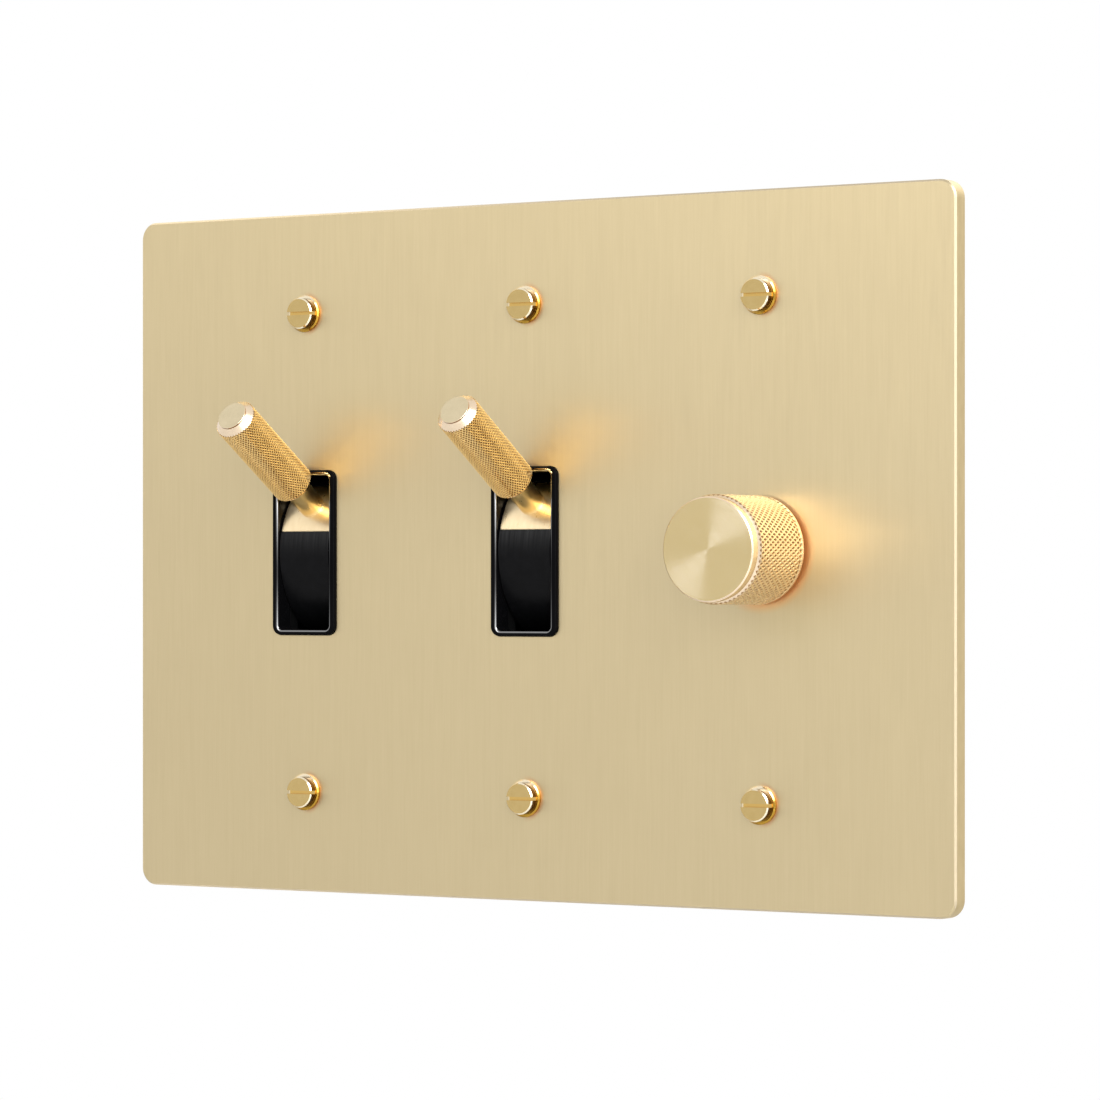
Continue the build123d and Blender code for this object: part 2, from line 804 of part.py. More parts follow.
def dimmer_body():
    body = slab(rounded(dimmer_width, dimmer_height, body_corner), 0, dimmer_depth)
    back = body.faces().sort_by(Axis.Y)[-1]
    body = fillet(back.edges(), body_back_edge)
    inside_width = dimmer_width - 2 * dimmer_wall
    inside_height = dimmer_height - 2 * dimmer_wall
    inside = dimmer_depth - dimmer_wall
    body -= slab(Rectangle(inside_width, inside_height), -cut_past, inside)
    for place in corners(dimmer_rivet_across, dimmer_rivet_up):
        body += place * rod(dimmer_post_diameter, 0, inside)
    body = rivet_holes(body, dimmer_rivet_across, dimmer_rivet_up)
    window_width_here = terminal_count * terminal_pitch + 2 * fit_gap
    half = window_width_here / 2
    middle = -terminal_block_drop
    window_z = (middle - terminal_block_height / 2 - fit_gap, middle + terminal_block_height / 2 + fit_gap)
    body -= block((-half, half), (inside - cut_past, dimmer_depth + cut_past), window_z)
    return Pos(dimmer_place, 0, 0) * body


def pot_case():
    """Drawn can behind the bush, with a hole for the spindle's tail."""
    can = rod(pot_diameter, bush_flange_thickness, pot_back)
    can -= rod(pot_diameter - 2 * pot_wall, bush_flange_thickness - cut_past, pot_back - pot_wall)
    can -= rod(spindle_diameter + 2 * moving_gap, pot_back - 2 * cut_past, pot_back + cut_past)
    lip = rod(pot_diameter, 0, bush_flange_thickness)
    can += lip - rod(bush_flange_diameter, -cut_past, bush_flange_thickness + cut_past)
    return Pos(dimmer_place, 0, 0) * can


def wiper_rotor():
    """Moulded disc that the spindle's tail turns and slides through, with two sprung wiper feet."""
    disc = rod(rotor_diameter, rotor_front, rotor_back)
    through = (rotor_front - cut_past, rotor_back + cut_past)
    half = spindle_tail_width / 2 + fit_gap
    hole = rod(spindle_diameter + 2 * moving_gap, *through)
    disc -= hole & block((-rotor_diameter, rotor_diameter), through, (-half, half))
    track_front = pot_back - pot_wall - track_thickness
    foot_y = (rotor_back - fit_gap, track_front - moving_gap)
    reach = rotor_diameter / 2 - pot_wall
    foot = block((-pot_wall, pot_wall), foot_y, (reach - 2 * pot_wall, reach))
    return Pos(dimmer_place, 0, 0) * (disc + foot + Rot(0, 30, 0) * foot)


def resistor_track():
    back = pot_back - pot_wall
    ring = rod(pot_diameter - 2 * pot_wall, back - track_thickness, back)
    ring -= rod(spindle_diameter + 2 * moving_gap, back - 2 * track_thickness, back + cut_past)
    return Pos(dimmer_place, 0, 0) * ring


def push_case():
    """Small switch case behind the can."""
    half = push_case_size / 2
    inner = half - push_case_wall
    case = block((-half, half), (pot_back, push_case_back), (-half, half))
    hollow_y = (pot_back + push_case_wall, push_case_back - push_case_wall)
    case -= block((-inner, inner), hollow_y, (-inner, inner))
    case -= rod(spindle_diameter + 2 * moving_gap, pot_back - cut_past, pot_back + push_case_wall + cut_past)
    return Pos(dimmer_place, 0, 0) * case


def push_plunger():
    """Flanged button that the spindle's end presses."""
    button = rod(plunger_flange_diameter, plunger_front, plunger_front + plunger_flange_thickness)
    tip = push_spring_diameter - 2 * push_spring_wire - 2 * fit_gap
    button += rod(tip, plunger_front, plunger_back)
    return Pos(dimmer_place, 0, 0) * button


def push_spring():
    front = plunger_front + plunger_flange_thickness
    back = push_case_back - push_case_wall
    spring = coil(push_spring_diameter, push_spring_wire, push_spring_turns, back - front)
    return Pos(dimmer_place, front, 0) * Rot(-90, 0, 0) * spring


def circuit_board():
    board = slab(Rectangle(board_width, board_height), board_front, board_back)
    through = (board_front - cut_past, board_back + cut_past)
    for place in corners(dimmer_rivet_across, dimmer_rivet_up):
        board -= place * rod(dimmer_post_diameter + 2 * fit_gap, *through)
    return Pos(dimmer_place, 0, 0) * board


def triac():
    """Power switch flat on the heat sink, with three legs down to the board."""
    half = triac_width / 2
    low = triac_up - triac_height / 2
    body = block((-half, half), (0, triac_thickness), (low, low + triac_body_height))
    body += block((-half, half), (0, triac_tab_thickness), (low, low + triac_height))
    body -= triac_hole_place() * rod(triac_screw_diameter + 2 * fit_gap, -cut_past, triac_thickness)
    leg_y = triac_thickness / 2
    leg = triac_leg_width / 2
    bend = low - 3 * triac_leg_width
    for x in (-triac_leg_pitch, 0, triac_leg_pitch):
        body += block((x - leg, x + leg), (leg_y - leg, leg_y + leg), (bend, low))
        body += block((x - leg, x + leg), (leg_y - leg, board_front), (bend - leg, bend + leg))
    return Pos(dimmer_place, 0, 0) * body


def triac_screw():
    head = triac_screw_head / 2
    shank = triac_screw_diameter / 2
    front = -strap_thickness
    screw = turned([
        (0, front),
        (head, front),
        (shank, front + head - shank),
        (shank, front + triac_screw_length),
        (0, front + triac_screw_length),
    ])
    slot_half = screw_slot_width / 2
    slot = block((-head, head), (front - cut_past, front + screw_slot_width), (-slot_half, slot_half))
    return Pos(dimmer_place, 0, 0) * triac_hole_place() * (screw - slot)


def choke_place():
    return Pos(dimmer_place + choke_across, board_front - choke_height, -choke_down)


def choke_core():
    """Ferrite bobbin standing on the board."""
    wide = choke_diameter / 2
    thin = choke_core_diameter / 2
    return choke_place() * turned([
        (0, 0),
        (wide, 0),
        (wide, choke_flange),
        (thin, choke_flange),
        (thin, choke_height - choke_flange),
        (wide, choke_height - choke_flange),
        (wide, choke_height),
        (0, choke_height),
    ])


def choke_winding():
    """Copper winding on the bobbin, with a rib for each outer turn."""
    thin = choke_core_diameter / 2
    length = choke_height - 2 * choke_flange
    step = length / choke_winding_turns
    outer = choke_diameter / 2 - step
    edge = [(thin, choke_flange), (outer, choke_flange)]
    for turn in range(choke_winding_turns):
        start = choke_flange + turn * step
        edge.append((outer + step / 2, start + step / 2))
        edge.append((outer, start + step))
    edge.append((thin, choke_height - choke_flange))
    return choke_place() * turned(edge)


def capacitor():
    """Moulded film capacitor standing on the board beside the choke."""
    outline = rounded(capacitor_width, capacitor_height, capacitor_corner)
    can = slab(outline, board_front - capacitor_depth, board_front)
    return Pos(dimmer_place - choke_across, 0, -choke_down) * can


def terminal_block():
    """Moulded block on the back of the board, with its screws and wire holes behind and below."""
    half = terminal_count * terminal_pitch / 2
    middle = -terminal_block_drop
    low = middle - terminal_block_height / 2
    moulding = block((-half, half), (board_back, terminal_block_back), (low, low + terminal_block_height))
    for x in terminal_places():
        pocket_x = (x - clamp_width / 2, x + clamp_width / 2)
        pocket_z = (middle - clamp_height / 2, middle + clamp_height / 2)
        moulding -= block(pocket_x, (clamp_front, clamp_back), pocket_z)
        well = rod(clamp_screw_head + 2 * fit_gap, clamp_back - cut_past, terminal_block_back + cut_past)
        moulding -= Pos(x, 0, middle) * well
        wire = upright_rod(wire_hole, low - cut_past, middle)
        moulding -= Pos(x, (clamp_front + clamp_back) / 2, 0) * wire
    return Pos(dimmer_place, 0, 0) * moulding


def terminal_clamps():
    """Brass cages, each with a wire hole from below and a tapped hole from behind."""
    wire_depth = (clamp_front + clamp_back) / 2
    half = clamp_width / 2
    cage = block((-half, half), (clamp_front, clamp_back), (-clamp_height / 2, clamp_height / 2))
    cage -= Pos(0, wire_depth, 0) * upright_rod(wire_hole, -clamp_height, clamp_height)
    cage -= rod(clamp_screw_diameter, wire_depth, clamp_back + cut_past)
    return [Pos(dimmer_place + x, 0, -terminal_block_drop) * cage for x in terminal_places()]


def clamp_screws():
    reach = clamp_front + clamp_depth / 2 + wire_hole / 4
    head = clamp_screw_head / 2
    shank = clamp_screw_diameter / 2
    head_back = clamp_back + clamp_screw_head_height
    screw = turned([
        (0, reach),
        (shank, reach),
        (shank, clamp_back),
        (head, clamp_back),
        (head, head_back),
        (0, head_back),
    ])
    slot_half = screw_slot_width / 2
    slot_y = (head_back - screw_slot_width, head_back + cut_past)
    screw -= block((-head, head), slot_y, (-slot_half, slot_half))
    return [Pos(dimmer_place + x, 0, -terminal_block_drop) * screw for x in terminal_places()]


def at(place, solids):
    """Moves one solid, or each of a group, along X to its gang."""
    if isinstance(solids, list):
        return [Pos(place, 0, 0) * solid for solid in solids]
    return Pos(place, 0, 0) * solids


pieces = {
    "face_plate": face_plate(),
    "plate_screws": plate_screws(),
}

for side, gang in toggle_places.items():
    pieces["bezel_" + side] = at(gang, bezel())
    pieces["strap_" + side] = at(gang, toggle_strap())
    pieces["strap_rivets_" + side] = at(gang, rivets(rivet_across, rivet_up))
    pieces["ground_screw_" + side] = at(gang, ground_screw(body_height))
    pieces["switch_cover_" + side] = at(gang, switch_cover())
    pieces["switch_body_" + side] = at(gang, switch_body())
    pieces["pivot_pin_" + side] = pivot_pin(gang)
    pieces["rocker_" + side] = rocker(gang)
    pieces["lever_stem_" + side] = lever_stem(gang)
    pieces["lever_handle_" + side] = lever_handle(gang)
    pieces["toggle_spring_" + side] = toggle_spring(gang)
    pieces["contact_arm_" + side] = contact_arm(gang)
    pieces["line_terminal_" + side] = line_terminal(gang)
    pieces["load_terminal_" + side] = load_terminal(gang)
    pieces["terminal_screws_" + side] = terminal_screws(gang)

pieces.update({
    "knob": knob(),
    "knob_hub": knob_hub(),
    "spindle": spindle(),
    "bush": bush(),
    "bush_washer": bush_washer(),
    "bush_nut": bush_nut(),
    "dimmer_strap": dimmer_strap(),
    "dimmer_rivets": at(dimmer_place, rivets(dimmer_rivet_across, dimmer_rivet_up)),
    "dimmer_ground_screw": at(dimmer_place, ground_screw(dimmer_height)),
    "dimmer_body": dimmer_body(),
    "pot_case": pot_case(),
    "wiper_rotor": wiper_rotor(),
    "resistor_track": resistor_track(),
    "push_case": push_case(),
    "push_plunger": push_plunger(),
    "push_spring": push_spring(),
    "circuit_board": circuit_board(),
    "triac": triac(),
    "triac_screw": triac_screw(),
    "choke_core": choke_core(),
    "choke_winding": choke_winding(),
    "capacitor": capacitor(),
    "terminal_block": terminal_block(),
    "terminal_clamps": terminal_clamps(),
    "clamp_screws": clamp_screws(),
})

os.makedirs("parts", exist_ok=True)
for name, shape in pieces.items():
    solid = Compound(children=shape) if isinstance(shape, list) else shape
    export_step(solid, "parts/" + name + ".step")
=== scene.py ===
import math
import bmesh
import bpy
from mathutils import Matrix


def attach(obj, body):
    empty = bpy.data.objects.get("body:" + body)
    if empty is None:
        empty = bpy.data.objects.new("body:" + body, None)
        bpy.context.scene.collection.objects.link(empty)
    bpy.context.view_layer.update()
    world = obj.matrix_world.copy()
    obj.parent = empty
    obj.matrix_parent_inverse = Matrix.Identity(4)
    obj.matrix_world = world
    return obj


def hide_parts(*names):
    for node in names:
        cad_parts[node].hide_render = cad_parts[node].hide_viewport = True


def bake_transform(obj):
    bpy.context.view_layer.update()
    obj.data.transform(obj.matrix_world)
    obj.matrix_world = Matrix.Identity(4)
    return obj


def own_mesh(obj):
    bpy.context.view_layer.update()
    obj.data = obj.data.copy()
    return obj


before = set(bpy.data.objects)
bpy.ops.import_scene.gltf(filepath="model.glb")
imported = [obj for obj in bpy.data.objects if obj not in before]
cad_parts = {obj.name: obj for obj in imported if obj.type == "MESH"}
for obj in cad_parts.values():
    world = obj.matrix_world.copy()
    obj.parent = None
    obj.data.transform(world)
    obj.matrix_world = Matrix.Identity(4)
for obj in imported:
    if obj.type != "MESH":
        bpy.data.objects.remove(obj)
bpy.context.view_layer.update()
bpy.ops.object.select_all(action="DESELECT")

# Face plate: 3 mm cartridge brass with a milled hollow behind, so that only the rim meets the wall.
# The front is brushed in long vertical strokes on a belt, which blur what it mirrors, and lacquered matt.
# The warm rings by the screws and the knob are their painted reflection, and the pale edge is a painted
# highlight.


class Tone:
    """A socket of a material. Arithmetic on it adds Math nodes to the material."""

    def __init__(self, tree, socket=None):
        self.tree = tree
        self.socket = socket

    def node(self, kind, settings=None, sockets=None, out=0):
        """Adds any other node: first its settings, then the values or links of its sockets."""
        made = self.tree.nodes.new(kind)
        for name, value in (settings or {}).items():
            setattr(made, name, value)
        for name, value in (sockets or {}).items():
            if isinstance(value, Tone):
                self.tree.links.new(value.socket, made.inputs[name])
            else:
                made.inputs[name].default_value = value
        return Tone(self.tree, made.outputs[out])

    def maths(self, operation, first, second=0.0):
        return self.node("ShaderNodeMath", {"operation": operation}, {0: first, 1: second})

    def __add__(self, other):
        return self.maths("ADD", self, other)

    def __radd__(self, other):
        return self.maths("ADD", other, self)

    def __sub__(self, other):
        return self.maths("SUBTRACT", self, other)

    def __rsub__(self, other):
        return self.maths("SUBTRACT", other, self)

    def __mul__(self, other):
        return self.maths("MULTIPLY", self, other)

    def __rmul__(self, other):
        return self.maths("MULTIPLY", other, self)

    def __truediv__(self, other):
        return self.maths("DIVIDE", self, other)

    def __rtruediv__(self, other):
        return self.maths("DIVIDE", other, self)

    def __pow__(self, other):
        return self.maths("POWER", self, other)

    def __rpow__(self, other):
        return self.maths("POWER", other, self)

    def __gt__(self, other):
        return self.maths("GREATER_THAN", self, other)

    def __lt__(self, other):
        return self.maths("LESS_THAN", self, other)

    def __abs__(self):
        return self.maths("ABSOLUTE", self)


def new_finish(name, constants):
    """A material with its constants on the shader's own sockets, and a Tone to draw its nodes with."""
    material = bpy.data.materials.new(name)
    material.use_nodes = True
    shader = material.node_tree.nodes["Principled BSDF"]
    for socket, value in constants.items():
        shader.inputs[socket].default_value = value
    return material, Tone(material.node_tree)


def feed(material, socket, tone):
    """Links what changes over the surface to one of the shader's sockets."""
    tree = material.node_tree
    tree.links.new(tone.socket, tree.nodes["Principled BSDF"].inputs[socket])


def own_place(pen):
    """The piece's own X, Y and Z, as three tones."""
    where = pen.node("ShaderNodeTexCoord", out="Object")
    apart = pen.node("ShaderNodeSeparateXYZ", None, {0: where})
    return [Tone(pen.tree, socket) for socket in apart.socket.node.outputs]


def from_gang(pen, along_x):
    """How far a point lies to the right of the middle of its gang."""
    return along_x - pen.maths("ROUND", along_x / gang_pitch) * gang_pitch


def span(first, second):
    """Length of the vector that has these two tones as its parts."""
    return (first * first + second * second) ** 0.5


def stretched_noise(pen, scale, detail=2.0):
    """Noise on the piece's own coordinates, with one scale or a scale for each axis."""
    if isinstance(scale, float):
        scale = (scale, scale, scale)
    where = pen.node("ShaderNodeTexCoord", out="Object")
    where = pen.node("ShaderNodeMapping", None, {"Vector": where, "Scale": scale})
    return pen.node("ShaderNodeTexNoise", None, {"Vector": where, "Scale": 1.0, "Detail": detail})


def smooth_step(pen, tone, first, second):
    """From 0 where the tone is at the first value to 1 at the second."""
    return pen.node("ShaderNodeMapRange", {"interpolation_type": "SMOOTHSTEP"}, {
        "Value": tone, "From Min": first, "From Max": second})


def blend_colours(pen, share, first, second):
    """From the first colour to the second as the share goes from 0 to 1.

    The Mix node has sockets of the same name for each type, so those for colours go by number.
    """
    first, second = (colour if isinstance(colour, Tone) else (*colour, 1.0) for colour in (first, second))
    return pen.node("ShaderNodeMix", {"data_type": "RGBA"}, {0: share, 6: first, 7: second}, out=2)


def relief(pen, strength, distance, height):
    """Marks too fine for the mesh, for a shader's Normal."""
    return pen.node("ShaderNodeBump", None, {"Strength": strength, "Distance": distance, "Height": height})


def lay_over(material, pen, share, layer):
    """Mixes a second shader with the material's own, by a share from 0 to 1."""
    tree = material.node_tree
    own = Tone(tree, tree.nodes["Principled BSDF"].outputs[0])
    both = pen.node("ShaderNodeMixShader", None, {0: share, 1: own, 2: layer})
    tree.links.new(both.socket, tree.nodes["Material Output"].inputs["Surface"])


def dress(material, *nodes):
    """Gives CAD nodes their finish."""
    for node in nodes:
        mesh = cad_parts[node].data
        mesh.materials.clear()
        mesh.materials.append(material)


plate_half_x = 0.08225
plate_half_z = 0.059
plate_bevel = 0.0003
bevel_zone = 1.05 * plate_bevel
milled_from = -0.0026
gang_pitch = 0.04604
screw_height = 0.04167
knob_x = gang_pitch
screw_reflection_reach = (0.0041, 0.0030)
screw_reflection_side = (-0.001, 0.002)
knob_reflection_reach = (0.0108, 0.0088)
knob_reflection_side = (-0.002, 0.006)
knob_reflection_slant = 0.7
brass_dark = (0.438, 0.330, 0.139)
brass_pale = (0.538, 0.424, 0.208)
screw_reflection_brown = (0.46, 0.18, 0.02)
knob_reflection_orange = (0.66, 0.29, 0.04)
bevel_highlight_cream = (0.60, 0.50, 0.34)
milled_dark = (0.52, 0.40, 0.20)
milled_pale = (0.66, 0.53, 0.30)

brushed_brass, pen = new_finish("brushed_brass", {
    "Metallic": 1.0, "Anisotropic": 0.7, "Coat Weight": 1.0, "Coat IOR": 2.0, "Coat Roughness": 0.42})
along_x, along_y, along_z = own_place(pen)
across = from_gang(pen, along_x)
up = abs(along_z) - screw_height
aside = along_x - knob_x
# Painted reflection: a brown ring right of each screw and an orange ring round the knob's right and lower
# side.
screw_reflection = smooth_step(pen, span(across, up), *screw_reflection_reach) * smooth_step(pen, across, *screw_reflection_side)
knob_reflection = smooth_step(pen, span(aside, along_z), *knob_reflection_reach)
knob_reflection = knob_reflection * smooth_step(pen, aside - along_z * knob_reflection_slant, *knob_reflection_side)
past_edge = pen.maths("MAXIMUM", abs(along_x) - plate_half_x, abs(along_z) - plate_half_z)
edge = past_edge > -bevel_zone
strokes = stretched_noise(pen, (5200.0, 5200.0, 110.0), 3.0)
bands = stretched_noise(pen, (1300.0, 1300.0, 45.0))
cloud = stretched_noise(pen, 25.0)
grain = strokes * 0.7 + bands * 0.3
tint = blend_colours(pen, grain * 0.8 + cloud * 0.2, brass_dark, brass_pale)
tint = blend_colours(pen, screw_reflection * 0.8, tint, screw_reflection_brown)
tint = blend_colours(pen, knob_reflection * 0.7, tint, knob_reflection_orange)
# Painted highlight: the bevel round the plate is paler than the face.
feed(brushed_brass, "Base Color", blend_colours(pen, edge * 0.5, tint, bevel_highlight_cream))
feed(brushed_brass, "Roughness", 0.33 + strokes * 0.12 + edge * 0.22)
feed(brushed_brass, "Normal", relief(pen, 0.09, 0.00002, grain))
mill_marks = stretched_noise(pen, (900.0, 900.0, 300.0), 3.0)
milled = pen.node("ShaderNodeBsdfPrincipled", None, {
    "Metallic": 1.0, "Roughness": 0.36 + mill_marks * 0.12,
    "Base Color": blend_colours(pen, mill_marks, milled_dark, milled_pale)})
lay_over(brushed_brass, pen, along_y > milled_from, milled)
dress(brushed_brass, "face_plate")

# Plate screws: six brass machine screws, turned with a flanged cheese head and one sawn slot.
# Their threads start behind the straps and run into the ears of the wall box. The head keeps the fine
# rings of the lathe. The light and dark of its sides, edges and slot are painted highlights and shade.

head_front = -0.0050
flange_front = -0.0036
head_radius = 0.0027
head_bevel = 0.00022
slot_half = 0.00031
thread_start = 0.0004
thread_pitch = 0.00079
hair = 0.00001
flange_upper_left = (0.004, -0.002)
flange_lower_right = (-0.001, 0.003)
screw_dark = (0.50, 0.35, 0.125)
screw_pale = (0.63, 0.475, 0.215)
head_side_shade_brown = (0.09, 0.045, 0.004)
slot_shade_gold = (0.64, 0.42, 0.13)
flange_highlight_cream = (0.90, 0.78, 0.56)
flange_shade_brown = (0.42, 0.24, 0.035)
head_bevel_highlight = (0.86, 0.76, 0.56)

screw_brass, pen = new_finish("screw_brass", {"Metallic": 1.0, "Roughness": 0.16})
along_x, along_y, along_z = own_place(pen)
across = from_gang(pen, along_x)
up = pen.maths("SIGN", along_z) * (abs(along_z) - screw_height)
reach = span(across, up)
turn = pen.maths("ARCTAN2", up, across) / (2 * math.pi)
thread = pen.maths("PINGPONG", along_y / thread_pitch + turn, 0.5) * (along_y > thread_start)
rings = pen.node("ShaderNodeTexNoise", {"noise_dimensions": "1D"}, {
    "W": reach, "Scale": 9000.0, "Detail": 2.0})
wear = stretched_noise(pen, 900.0)
below_front = along_y > head_front + hair
below_bevel = along_y > head_front + head_bevel
above_flange = along_y < flange_front - 2 * hair
head_side = below_bevel * above_flange * (reach > head_radius - 5 * hair)
bevel = below_front * (along_y < head_front + head_bevel) * (reach > head_radius - head_bevel)
flange = (along_y > flange_front - 2 * hair) * (reach > head_radius)
slot = (abs(up) < slot_half) * below_front * (reach < head_radius + 10 * hair)
tint = blend_colours(pen, rings * 0.5 + wear * 0.5, screw_dark, screw_pale)
# Painted shade: a dark head side, a deeper gold slot and a brown lower right flange.
tint = blend_colours(pen, head_side, tint, head_side_shade_brown)
tint = blend_colours(pen, slot, tint, slot_shade_gold)
# Painted highlights: a pale upper left flange and a pale bevel.
tint = blend_colours(pen, flange * smooth_step(pen, across - up, *flange_upper_left), tint, flange_highlight_cream)
tint = blend_colours(pen, flange * smooth_step(pen, across - up, *flange_lower_right), tint, flange_shade_brown)
feed(screw_brass, "Base Color", blend_colours(pen, bevel * (1.0 - slot), tint, head_bevel_highlight))
feed(screw_brass, "Normal", relief(pen, 0.6, 0.0003, thread + rings * 0.012))
dress(screw_brass, "plate_screws")

# Bezels: black moulded frames that snap into the plate's windows from behind.
# The mould is finely etched, which keeps the frame deep black, and polished along the inner bead,
# so that a thin bright line runs round the window. Its strength is a painted highlight, greatest at the top.


def mottled_finish(name, constants, scale, detail, colours, rough=None):
    """A finish whose colour, and roughness if given by its least value and its spread, follow one noise."""
    material, pen = new_finish(name, constants)
    mottle = stretched_noise(pen, scale, detail)
    feed(material, "Base Color", blend_colours(pen, mottle, *colours))
    if rough:
        least, spread = rough
        feed(material, "Roughness", least + mottle * spread)
    return material, pen


window_half_x = 0.00545
window_half_z = 0.0134
window_corner = 0.0008
wall_skin = 0.00004
bead_width = 0.00036
bead_width_more_at_top = 0.00024
top_from = 0.98
wall_share = 0.15
bezel_colours = (0.0015, 0.0015, 0.0018), (0.004, 0.004, 0.0045)

bezel_black, pen = mottled_finish("bezel_black", {
    "Specular IOR Level": 0.015, "Coat IOR": 8.0, "Coat Roughness": 0.08},
    (240.0, 240.0, 90.0), 3.0, bezel_colours, rough=(0.06, 0.08))
along_x, along_y, along_z = own_place(pen)
past_x = pen.maths("MAXIMUM", abs(from_gang(pen, along_x)) - (window_half_x - window_corner), 0.0)
past_z = pen.maths("MAXIMUM", abs(along_z) - (window_half_z - window_corner), 0.0)
past = span(past_x, past_z) - window_corner
rise = along_z / window_half_z
top = rise > top_from
walls = pen.maths("MAXIMUM", wall_share, pen.maths("MAXIMUM", past > wall_skin, top))
bead = (past < bead_width + top * bead_width_more_at_top) * walls
# Painted highlight: the bead's gloss is set by height, strongest at the top, then the bottom, weakest at the
# sides.
feed(bezel_black, "Coat Weight", bead * (0.07 + rise * rise * 0.62 + rise * 0.30))
dress(bezel_black, "bezel_left", "bezel_centre")

# Rockers: black moulded drums that turn on the pivot pins and keep the windows closed.
# Their satin skin shows the draw lines of the mould, which run up and down.
# A painted sheen makes its upper part glossier than the rest.

rocker_painted_sheen = (-0.001, 0.005)
rocker_colours = (0.0015, 0.0015, 0.0017), (0.0045, 0.0045, 0.005)

rocker_black, pen = mottled_finish("rocker_black", {
    "Specular IOR Level": 0.06, "Coat IOR": 1.7, "Coat Roughness": 0.35}, 700.0, 3.0, rocker_colours)
along_x, along_y, along_z = own_place(pen)
draw = stretched_noise(pen, (2600.0, 60.0, 60.0))
# Painted sheen: the coat is only on the upper part of the drum, broken by the draw lines.
feed(rocker_black, "Coat Weight", smooth_step(pen, along_z, *rocker_painted_sheen) * (draw * 0.6 - 0.08))
feed(rocker_black, "Roughness", 0.26 + draw * 0.22)
feed(rocker_black, "Normal", relief(pen, 0.25, 0.00003, draw))
dress(rocker_black, "rocker_left", "rocker_centre")

# Lever stems: a square foot and a round neck milled and turned from one brass bar.
# They are buffed to a soft shine, with only hairline marks from the mop. The deeper gold on top and
# close to the handle is painted shade.


def lever_axes(along_y, along_z):
    """How far a point at rest lies above a lever's axis, and how far out from its pivot."""
    back = along_y - lever_pivot
    over = back * math.sin(lever_rise) + along_z * math.cos(lever_rise)
    out = along_z * math.sin(lever_rise) - back * math.cos(lever_rise)
    return over, out


lever_rise = math.radians(33)
lever_pivot = 0.0117
stem_top = (-0.001, 0.003)
stem_shade = (0.0150, 0.0160)
stem_dark = (0.80, 0.62, 0.36)
stem_pale = (0.90, 0.74, 0.49)
stem_shade_gold = (0.77, 0.51, 0.13)

polished_brass, pen = new_finish("polished_brass", {"Metallic": 1.0})
along_x, along_y, along_z = own_place(pen)
over, out = lever_axes(along_y, along_z)
hairline = stretched_noise(pen, (1500.0, 400.0, 400.0), 3.0)
tint = blend_colours(pen, hairline, stem_dark, stem_pale)
# Painted shade: deeper gold above the lever's axis and on the neck close to the handle.
stem_painted_shade = pen.maths("MAXIMUM", smooth_step(pen, over, *stem_top), smooth_step(pen, out, *stem_shade) * 0.8)
feed(polished_brass, "Base Color", blend_colours(pen, stem_painted_shade * 0.85, tint, stem_shade_gold))
feed(polished_brass, "Roughness", 0.24 + hairline * 0.10)
dress(polished_brass, "lever_stem_left", "lever_stem_centre")

# Lever handles: brass bar with a fine diamond knurl rolled in, a smooth turned cone at the free end
# and a flat raised disc. Each is bored from below and pressed onto its stem.
# The grooves keep a darker gold than the burnished tips, partly patina and partly painted shade,
# and the dark wall of the disc is painted shade.


def choose(part, test):
    """Selects the open mesh's vertices, edges or faces that pass a test."""
    bpy.ops.mesh.select_mode(type=part)
    bpy.ops.mesh.select_all(action="DESELECT")
    mesh = bmesh.from_edit_mesh(bpy.context.object.data)
    for item in {"VERT": mesh.verts, "EDGE": mesh.edges, "FACE": mesh.faces}[part]:
        if test(item):
            item.select_set(True)
    mesh.select_flush_mode()
    bmesh.update_edit_mesh(bpy.context.object.data)


def middle(edge):
    """Height of an edge's middle along the bar."""
    return (edge.verts[0].co.z + edge.verts[1].co.z) / 2


def knurled_band(name, diamonds, rows, low, high, root, crest, land):
    """An open tube along Z whose wall is rolled into a net of crossing ridges round diamond pits."""
    sides = 2 * diamonds
    bpy.ops.mesh.primitive_cylinder_add(
        vertices=sides, radius=root, depth=high - low, end_fill_type="NOTHING",
        location=(0, 0, (low + high) / 2))
    bar = bpy.context.object
    bar.name = name
    bpy.ops.object.transform_apply(location=True)
    bpy.ops.object.mode_set(mode="EDIT")
    choose("EDGE", lambda edge: abs(edge.verts[0].co.z - edge.verts[1].co.z) > land)
    bpy.ops.mesh.subdivide(number_cuts=2 * rows - 1)
    step = (high - low) / (2 * rows)

    def is_crest(vert):
        around = round(math.atan2(vert.co.x, vert.co.y) / (2 * math.pi) * sides)
        return (around + round((vert.co.z - low) / step)) % 2 == 1

    choose("VERT", is_crest)
    bpy.ops.transform.resize(value=(crest / root, crest / root, 1.0), center_override=(0, 0, 0))
    choose("FACE", lambda face: True)
    bpy.ops.mesh.quads_convert_to_tris(quad_method="LONGEST_DIAGONAL")
    half_way = (root + crest) / 2
    choose("EDGE", lambda edge: (
        min(vert.co.xy.length for vert in edge.verts) > half_way and not edge.is_boundary))
    bpy.ops.mesh.bevel(offset=land / 2, affect="EDGES", segments=1)
    for end, drop in ((high, root - crest), (low, crest - root)):
        choose("VERT", lambda vert: (
            vert.is_boundary and abs(vert.co.z - end) < step / 2 and vert.co.xy.length > half_way))
        bpy.ops.transform.translate(value=(0, 0, drop))
    return bar


